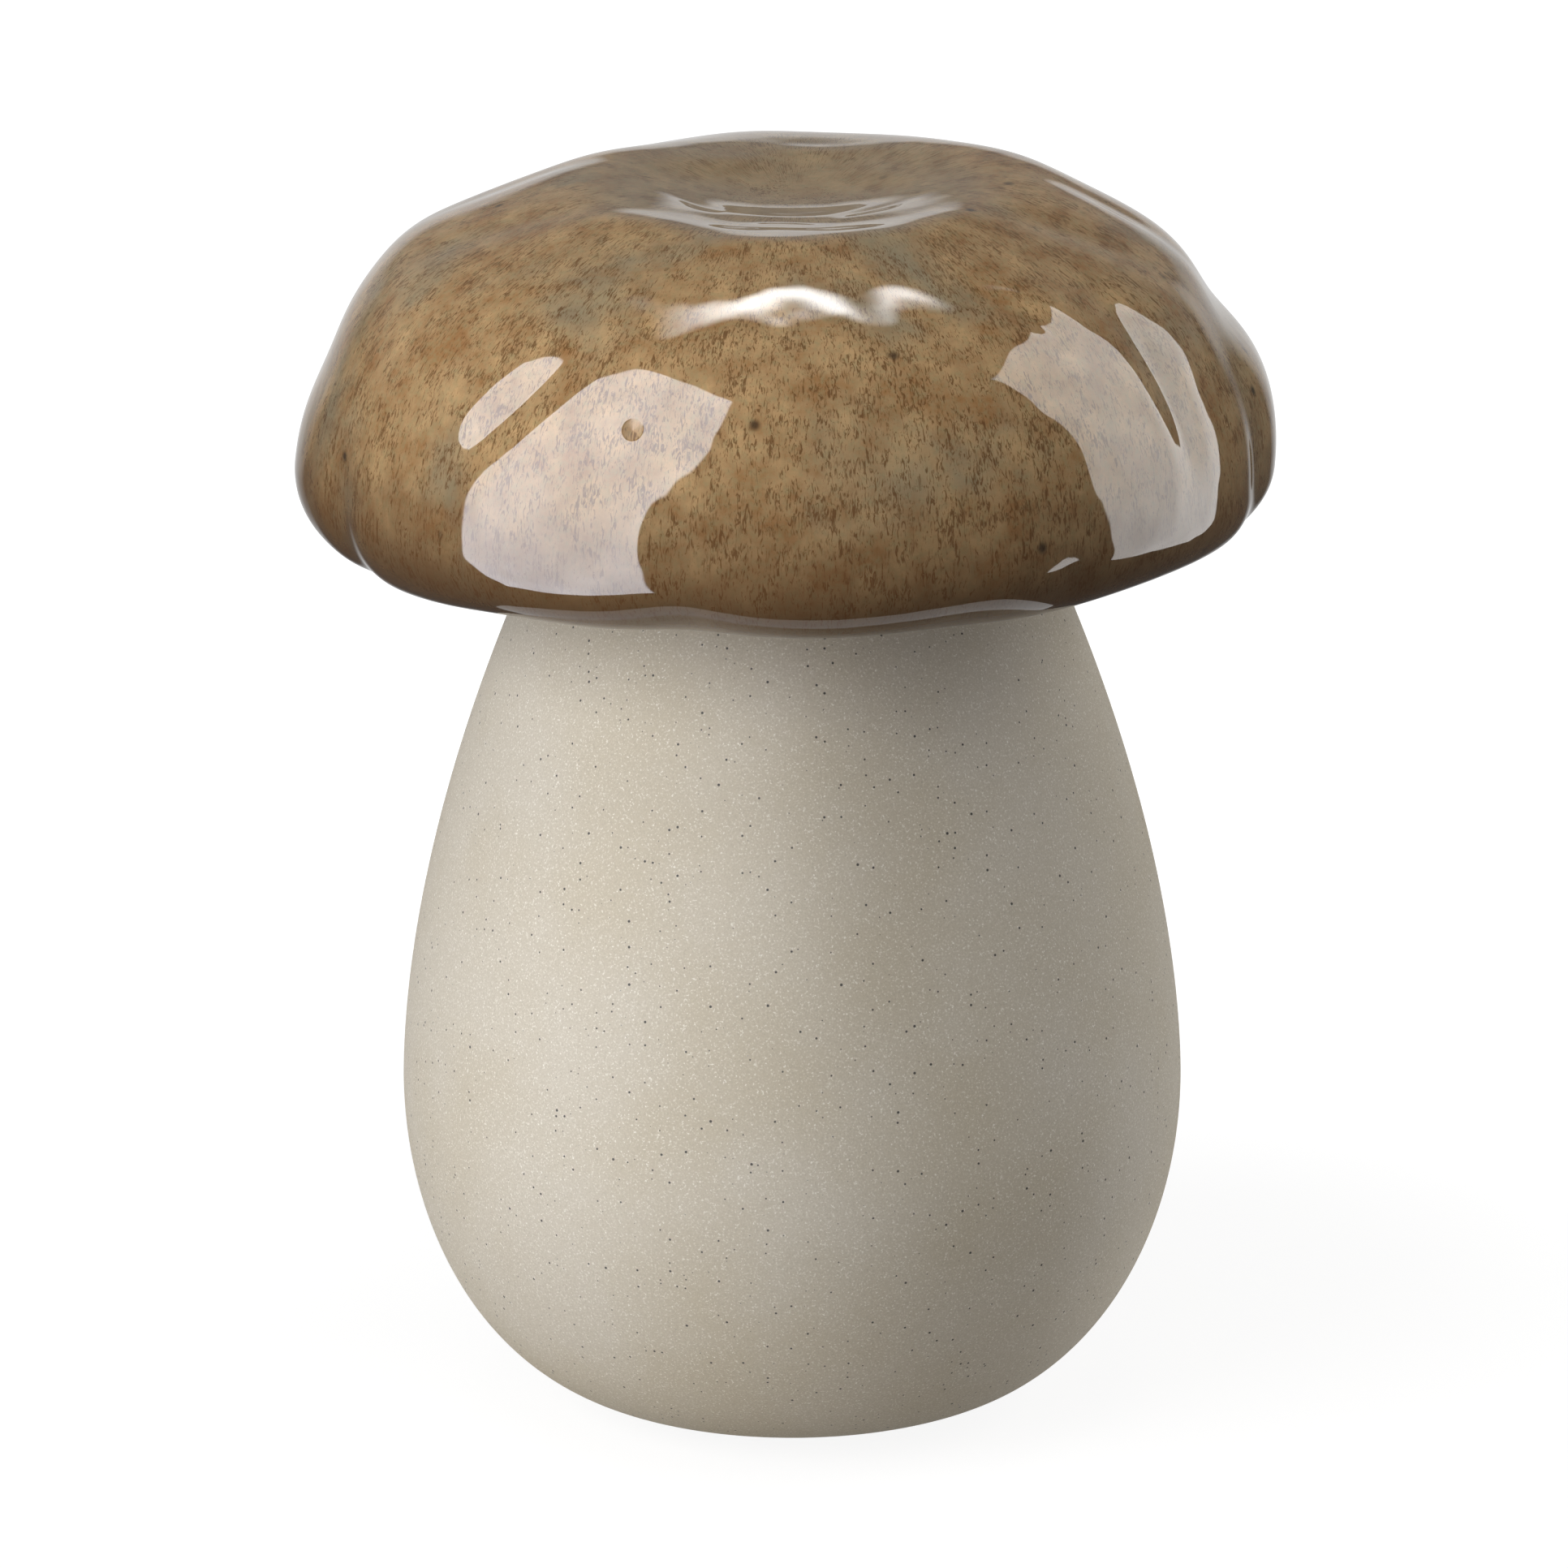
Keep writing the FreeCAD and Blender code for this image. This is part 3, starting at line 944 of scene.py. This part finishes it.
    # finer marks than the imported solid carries, each less than half a millimetre deep
    marks: tuple[Dent, ...] = (
        Dent(-7, 0.33, 0.10, 0.08, 0, 0.12),
        Dent(-20, 0.47, 0.06, 0.04, 0, 0.05),
        Dent(-50, 0.37, 0.05, 0.06, 0, -0.12),
        Dent(-50, 0.42, 0.04, 0.05, 0, -0.10),
        Dent(-41, 0.34, 0.04, 0.06, 40, -0.10),
        Dent(30, 0.49, 0.05, 0.05, 0, -0.06),
        Dent(36, 0.30, 0.05, 0.08, 0, 0.08),
        Dent(35, 0.17, 0.05, 0.06, 25, -0.20),
        Dent(-72, 0.60, 0.06, 0.20, 30, -0.22),
        Dent(-105, 0.66, 0.06, 0.18, -20, -0.20),
        Dent(-50, 0.66, 0.10, 0.10, 0, 0.15),
        Dent(66, 0.62, 0.06, 0.20, -30, -0.22),
        Dent(92, 0.60, 0.05, 0.18, 0, -0.20),
        Dent(-5, 0.84, 0.14, 0.03, 0, -0.12),
        Dent(40, 0.86, 0.10, 0.03, 0, -0.10),
        Dent(-60, 0.86, 0.10, 0.03, 0, -0.10),
        Dent(120, 0.86, 0.12, 0.05, 0, 0.15),
        Dent(-150, 0.84, 0.12, 0.05, 0, 0.15),
        Dent(170, 0.80, 0.14, 0.05, 0, 0.15),
        Dent(-14, 0.24, 0.05, 0.06, 0, -0.10),
        Dent(-46, 0.31, 0.05, 0.05, 0, -0.12),
        Dent(30, 0.47, 0.04, 0.05, 0, 0.08),
    )

    def middle(self) -> float:
        """Height of the widest ring."""
        return self.rim_level - self.lip_return + self.lip_drop

    def inner_turn(self) -> float:
        """Turn from the widest ring, under the lip, to its inner edge, in radians."""
        return math.pi - math.asin(1 - self.lip_return / self.lip_drop)

    def arc(self, share: float, radius: float, height: float) -> Corner:
        """A dome's section, from its widest ring (0) to its top (1).

        Args:
            share: how far along it.
            radius: the ring's radius.
            height: how far the top is above the ring.

        Returns:
            Radius and height.
        """
        turn = math.pi / 2 * share
        power = 2 / self.squareness
        return radius * max(math.cos(turn), 0) ** power, self.middle() + height * math.sin(turn) ** power

    def outline(self, share: float) -> Corner:
        """The outline from the lip's inner edge (0) over its rim (half way) to the top (1).

        Args:
            share: how far along it.

        Returns:
            Radius and height.
        """
        if share < 0.5:
            turn = self.inner_turn() * (1 - 2 * share)
            radius = self.radius - self.lip_depth + self.lip_depth * math.cos(turn)
            return radius, self.middle() - self.lip_drop * math.sin(turn)
        return self.arc(2 * share - 1, self.radius, self.dome_rise)

    def roof(self, profile: Profile) -> list[Corner]:
        """Corners of the hollow's roof from the top down, drawn down below the crown.

        Args:
            profile: the dome's outer outline.

        Returns:
            Radius and height of each corner.
        """
        shares = [step / self.hollow_steps for step in reversed(range(self.hollow_steps + 1))]
        corners = [self.arc(share, self.radius - self.wall, self.dome_rise - self.wall) for share in shares]
        places = np.array([(radius, 0.0, height) for radius, height in corners])
        lifts = Skin(profile, (self.crown,), self.radius, self.dent_depth, self.fade).lift(places)
        return [(radius, height + float(lift)) for (radius, height), lift in zip(corners, lifts)]

    def opening(self) -> list[Corner]:
        """The stepped opening, from the hollow's floor down to the lip's inner edge.

        Returns:
            Radius and height of each corner.
        """
        floor = self.rim_level + self.underside_thickness
        step = self.rim_level + self.rim_step_height
        opening = self.outline(0)[0] - self.rim_land
        return [
            (self.radius - self.wall, floor),
            (opening - self.rim_step_width, floor),
            (opening - self.rim_step_width, step),
            (opening, step),
            (opening, self.rim_level),
        ]

    def fade(self, climb: Numbers) -> Numbers:
        """How much of the relief shows along the dome: none at the lip's inner edge."""
        return rise(climb, self.fade_share)

    def build(self) -> None:
        """Build and dress the dome."""
        profile = Profile(self.outline)
        inside = self.roof(profile) + self.opening()
        mesh = turned_mesh("glazed_dome", profile, self.rows, self.columns, inside)
        dents = (self.crown, *self.dents, *self.marks)
        Skin(profile, dents, self.radius, self.dent_depth, self.fade).press(mesh)
        show("glazed_dome", mesh, self.finish, "cap_dome")


@dataclass
class FeltPads:
    """Four felt discs under the foot, with soft cut edges."""

    finish: Material
    nodes: tuple[str, ...] = (
        "foot_pad_front_left",
        "foot_pad_front_right",
        "foot_pad_back_left",
        "foot_pad_back_right",
    )
    segments: int = 72
    edge: float = 0.3 * MM
    edge_steps: int = 4
    fuzz: float = 0.04 * MM

    def build(self) -> None:
        """Build each disc in the box of its node."""
        for number, node in enumerate(self.nodes):
            low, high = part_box(node)
            middle = (low + high) / 2
            radius = (high.x - low.x) / 2
            form = bmesh.new()
            bmesh.ops.create_cone(
                form,
                cap_ends=True,
                segments=self.segments,
                radius1=radius,
                radius2=radius,
                depth=high.z - low.z,
            )
            bmesh.ops.translate(form, verts=form.verts, vec=middle)
            rims = [edge for edge in form.edges if abs(edge.verts[0].co.z - edge.verts[1].co.z) < self.edge]
            bmesh.ops.bevel(
                form,
                geom=rims,
                offset=self.edge,
                offset_type="OFFSET",
                affect="EDGES",
                segments=self.edge_steps,
                profile=0.5,
                material=-1,
            )
            rng = np.random.default_rng(number)
            for vertex in form.verts:
                away = Vector((vertex.co.x - middle.x, vertex.co.y - middle.y, 0))
                vertex.co -= away.normalized() * self.fuzz * rng.random()
            mesh = bpy.data.meshes.new("felt_" + node)
            form.to_mesh(mesh)
            form.free()
            show("felt_" + node, mesh, self.finish, node)


def dress(node: bpy.types.Object, material: Material) -> None:
    """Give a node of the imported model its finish.

    Args:
        node: the node's object.
        material: its finish.
    """
    node.data.materials.clear()
    node.data.materials.append(material)
    LOG.info("%s: dressed in %s", node.name, material.name)


class Seen(Enum):
    """What shows a light."""

    GLOSS = "mirror-like reflections"
    LIGHT = "matt surfaces"


@dataclass(frozen=True)
class LightCard:
    """A flat light around the object, placed by the direction that it is seen in from the cap.

    Edge is the share of its size over which the glow fades out at each side, and cloth the most that the
    folds of its cloth take from the glow.
    """

    name: str
    azimuth: float
    elevation: float
    distance: float
    width: float
    height: float
    strength: float
    seen: Seen
    edge: float = 0.02
    cloth: float = 0.0
    cloth_scale: float = 3.0
    colour: str = "#FFFFFF"
    aim: Vector = Vector((0, 0, 0.11))

    def build(self) -> None:
        """Build the card, facing its aim, with an even glow that softens at its edge."""
        form = bmesh.new()
        bmesh.ops.create_grid(form, x_segments=1, y_segments=1, size=0.5, calc_uvs=True)
        turn, climb = math.radians(self.azimuth), math.radians(self.elevation)
        level = math.cos(climb)
        away = Vector((math.sin(turn) * level, -math.cos(turn) * level, math.sin(climb)))
        facing = (-away).to_track_quat("Z", "Y").to_matrix().to_4x4()
        layer = form.loops.layers.uv.verify()
        for face in form.faces:
            for loop in face.loops:
                loop[layer].uv = (loop.vert.co.x + 0.5, loop.vert.co.y + 0.5)
        bmesh.ops.scale(form, verts=form.verts, vec=(self.width, self.height, 1))
        bmesh.ops.transform(form, verts=form.verts, matrix=facing)
        bmesh.ops.translate(form, verts=form.verts, vec=self.aim + away * self.distance)
        card = stage_piece(self.name, form, self.material())
        card.visible_camera = False
        card.visible_shadow = False
        card.visible_diffuse = self.seen is Seen.LIGHT
        card.visible_glossy = self.seen is Seen.GLOSS

    def material(self) -> Material:
        """Build the card's glow, which comes from its front and fades over its edge.

        Returns:
            The material.
        """
        material, tree = new_material(self.name)
        place = add_node(tree, "TexCoord").outputs["UV"]
        parts = add_node(tree, "SeparateXYZ", {"Vector": place})
        behind = add_node(tree, "NewGeometry").outputs["Backfacing"]
        level = add_node(tree, "Math", {0: 1.0, 1: behind}, operation="SUBTRACT")
        for axis in ("X", "Y"):
            away = add_node(tree, "Math", {0: parts.outputs[axis], 1: 0.5}, operation="SUBTRACT")
            size = add_node(tree, "Math", {0: away}, operation="ABSOLUTE")
            fade = add_node(tree, "MapRange", {
                "Value": size,
                "From Min": 0.5,
                "From Max": 0.5 - self.edge,
            }, interpolation_type="SMOOTHSTEP")
            level = add_node(tree, "Math", {0: level, 1: fade}, operation="MULTIPLY")
        folds = add_node(tree, "TexNoise", {"Vector": place, "Scale": self.cloth_scale})
        even = add_node(tree, "MapRange", {
            "Value": folds,
            "From Min": 0.3,
            "From Max": 0.6,
            "To Min": self.strength * (1 - self.cloth),
            "To Max": self.strength,
        })
        strength = add_node(tree, "Math", {0: level, 1: even}, operation="MULTIPLY")
        glow = add_node(tree, "Emission", {"Color": linear(self.colour), "Strength": strength})
        add_node(tree, "OutputMaterial", {"Surface": glow})
        return material


def stage_piece(name: str, form: bmesh.types.BMesh, material: Material) -> bpy.types.Object:
    """Put a piece of the studio in the scene.

    Args:
        name: the piece's name.
        form: its form, which is freed.
        material: its material.

    Returns:
        The piece.
    """
    mesh = bpy.data.meshes.new(name)
    form.to_mesh(mesh)
    form.free()
    mesh.materials.append(material)
    piece = bpy.data.objects.new(name, mesh)
    bpy.context.scene.collection.objects.link(piece)
    return piece


@dataclass
class Studio:
    """The pale floor, the lights round the object, and the white room behind it."""

    cards: tuple[LightCard, ...] = (
        LightCard("left_softbox", -53, 5, 0.62, 0.615, 1.40, 7.6, Seen.GLOSS, cloth=0.22, colour="#F3F6FF"),
        LightCard("right_softbox", 96.5, 14, 0.62, 0.45, 1.10, 3.9, Seen.GLOSS, cloth=0.22),
        LightCard("overhead_strip", 180, 69, 0.62, 0.46, 0.10, 14.0, Seen.GLOSS, edge=0.5),
        LightCard("key_light", -46, 14, 0.62, 0.50, 0.60, 4.3, Seen.LIGHT),
        LightCard("rim_light", 102, 8, 0.62, 0.40, 0.90, 2.0, Seen.LIGHT),
        LightCard("top_light", -20, 75, 0.62, 0.50, 0.50, 2.0, Seen.LIGHT),
    )
    floor_reach: float = 3.0
    floor_colour: str = "#F4F4F2"
    floor_glow: float = 1.125
    # the shadow shows in full up to the second distance from the foot's middle, and ends at the first
    shadow_share: float = 0.20
    shadow_from: float = 0.20
    shadow_to: float = 0.08
    plinth_radius: float = 85 * MM
    plinth_drop: float = 0.5 * MM
    plinth_colour: str = "#B4B1AC"
    plinth_glow: float = 0.9
    ambient: float = 0.10
    # the gloss shows a bright backdrop low behind the object and a faint veil above it: each pair of angles
    # is where a fade starts and ends
    backdrop_glow: float = 0.9
    backdrop_from: float = 0.86
    backdrop_to: float = 0.97
    backdrop_top: tuple[float, float] = (7.0, 13.0)
    veil_glow: float = 0.28
    veil_foot: tuple[float, float] = (5.0, 15.0)
    veil_top: tuple[float, float] = (20.0, 65.0)

    def build(self) -> None:
        """Build the floor, the cards and the room."""
        for card in self.cards:
            card.build()
        self.floor()
        self.plinth()
        self.room()

    def floor(self) -> None:
        """Add the floor, white to the camera apart from the object's soft shadow."""
        form = bmesh.new()
        bmesh.ops.create_grid(form, x_segments=1, y_segments=1, size=self.floor_reach)
        material, tree = new_material("pale_floor")
        paper = add_node(tree, "BsdfDiffuse", {"Color": linear(self.floor_colour)})
        white = add_node(tree, "Emission", {"Strength": self.floor_glow})
        place = add_node(tree, "TexCoord").outputs["Object"]
        away = add_node(tree, "VectorMath", {0: place}, operation="LENGTH")
        share = add_node(tree, "MapRange", {
            "Value": away.outputs["Value"],
            "From Min": self.shadow_from,
            "From Max": self.shadow_to,
            "To Max": self.shadow_share,
        }, interpolation_type="SMOOTHSTEP")
        mixed = add_node(tree, "MixShader", {0: share, 1: white, 2: paper})
        add_node(tree, "OutputMaterial", {"Surface": mixed})
        floor = stage_piece("floor", form, material)
        floor.visible_diffuse = False
        floor.visible_glossy = False
        floor.visible_shadow = False

    def plinth(self) -> None:
        """Add the small plinth's top, which the camera doesn't see: it lights the foot and the lip."""
        form = bmesh.new()
        bmesh.ops.create_circle(form, cap_ends=True, segments=96, radius=self.plinth_radius)
        bmesh.ops.translate(form, verts=form.verts, vec=(0, 0, -self.plinth_drop))
        material, tree = new_material("plinth")
        paint = add_node(tree, "BsdfDiffuse", {"Color": linear(self.plinth_colour)})
        sheen = add_node(tree, "Emission", {"Strength": self.plinth_glow})
        mixed = add_node(tree, "MixShader", {
            0: add_node(tree, "LightPath").outputs["Is Glossy Ray"],
            1: paint,
            2: sheen,
        })
        add_node(tree, "OutputMaterial", {"Surface": mixed})
        stage_piece("plinth", form, material).visible_camera = False

    @staticmethod
    def below(tree: Tree, climb: Socket, top: tuple[float, float]) -> Node:
        """Fade out what lies above two elevations.

        Args:
            tree: the world's tree.
            climb: the direction's upright part.
            top: the elevations at which the fade starts and ends.

        Returns:
            The node that gives 1 below the first elevation and 0 above the second.
        """
        low, high = (math.sin(math.radians(angle)) for angle in top)
        return add_node(tree, "MapRange", {"Value": climb, "From Min": high, "From Max": low})

    def room(self) -> None:
        """Light the room: white to the camera, a backdrop and a veil to the gloss, and dim to all else."""
        world = bpy.data.worlds.new("white_room")
        bpy.context.scene.world = world
        world.use_nodes = True
        tree = world.node_tree
        tree.nodes.clear()
        direction = add_node(tree, "TexCoord").outputs["Generated"]
        parts = add_node(tree, "SeparateXYZ", {"Vector": direction})
        behind = add_node(tree, "MapRange", {
            "Value": parts.outputs["Y"],
            "From Min": self.backdrop_from,
            "From Max": self.backdrop_to,
            "To Max": self.backdrop_glow,
        })
        low = self.below(tree, parts.outputs["Z"], self.backdrop_top)
        backdrop = add_node(tree, "Math", {0: behind, 1: low}, operation="MULTIPLY")
        back = add_node(tree, "MapRange", {
            "Value": parts.outputs["Y"],
            "From Max": self.backdrop_from,
            "To Max": self.veil_glow,
        })
        high = add_node(tree, "Math", {
            0: self.below(tree, parts.outputs["Z"], self.veil_top),
            1: self.below(tree, parts.outputs["Z"], self.veil_foot),
        }, operation="SUBTRACT")
        veil = add_node(tree, "Math", {0: back, 1: high}, operation="MULTIPLY")
        bright = add_node(tree, "Math", {0: backdrop, 1: veil}, operation="MAXIMUM")
        path = add_node(tree, "LightPath")
        gloss = add_node(tree, "Math", {0: path.outputs["Is Glossy Ray"], 1: bright}, operation="MULTIPLY")
        shown = add_node(tree, "Math", {0: path.outputs["Is Camera Ray"], 1: gloss}, operation="MAXIMUM")
        strength = add_node(tree, "MapRange", {"Value": shown, "To Min": self.ambient, "To Max": 1.0})
        background = add_node(tree, "Background", {"Strength": strength})
        add_node(tree, "OutputWorld", {"Surface": background})


@dataclass(frozen=True)
class Camera:
    """A long lens that looks at the front from a little above the cap, as the photograph does."""

    elevation: float = 16.0
    distance: float = 1.300
    aside: float = -0.95 * MM
    target_height: float = 73.54 * MM
    lens: float = 257.7
    sensor: float = 36.0

    def build(self) -> None:
        """Add the camera and make it the scene's own."""
        data = bpy.data.cameras.new("camera")
        data.lens = self.lens
        data.sensor_width = self.sensor
        climb = math.radians(self.elevation)
        camera = bpy.data.objects.new("camera", data)
        camera.location = (
            self.aside,
            -self.distance * math.cos(climb),
            self.target_height + self.distance * math.sin(climb),
        )
        camera.rotation_euler = (math.pi / 2 - climb, 0, 0)
        bpy.context.scene.collection.objects.link(camera)
        bpy.context.scene.camera = camera


def main() -> None:
    """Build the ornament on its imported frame, then the studio round it."""
    logging.basicConfig(level=logging.INFO, format="%(name)s: %(message)s")
    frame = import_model()
    Camera().build()
    Studio().build()
    clay = BareStoneware().material()
    glaze = BrownGlaze().material()
    adhesive = CuredAdhesive().material()
    felt = DarkFelt().material()
    Stem(clay).build()
    Cap(glaze).build()
    FeltPads(felt).build()
    dress(frame["nodes"]["cap_underside"], glaze)
    dress(frame["nodes"]["neck_bond"], adhesive)
    dress(frame["nodes"]["rim_bond"], adhesive)
    bpy.context.scene.view_settings.view_transform = "Standard"


if __name__ == "__main__":
    main()
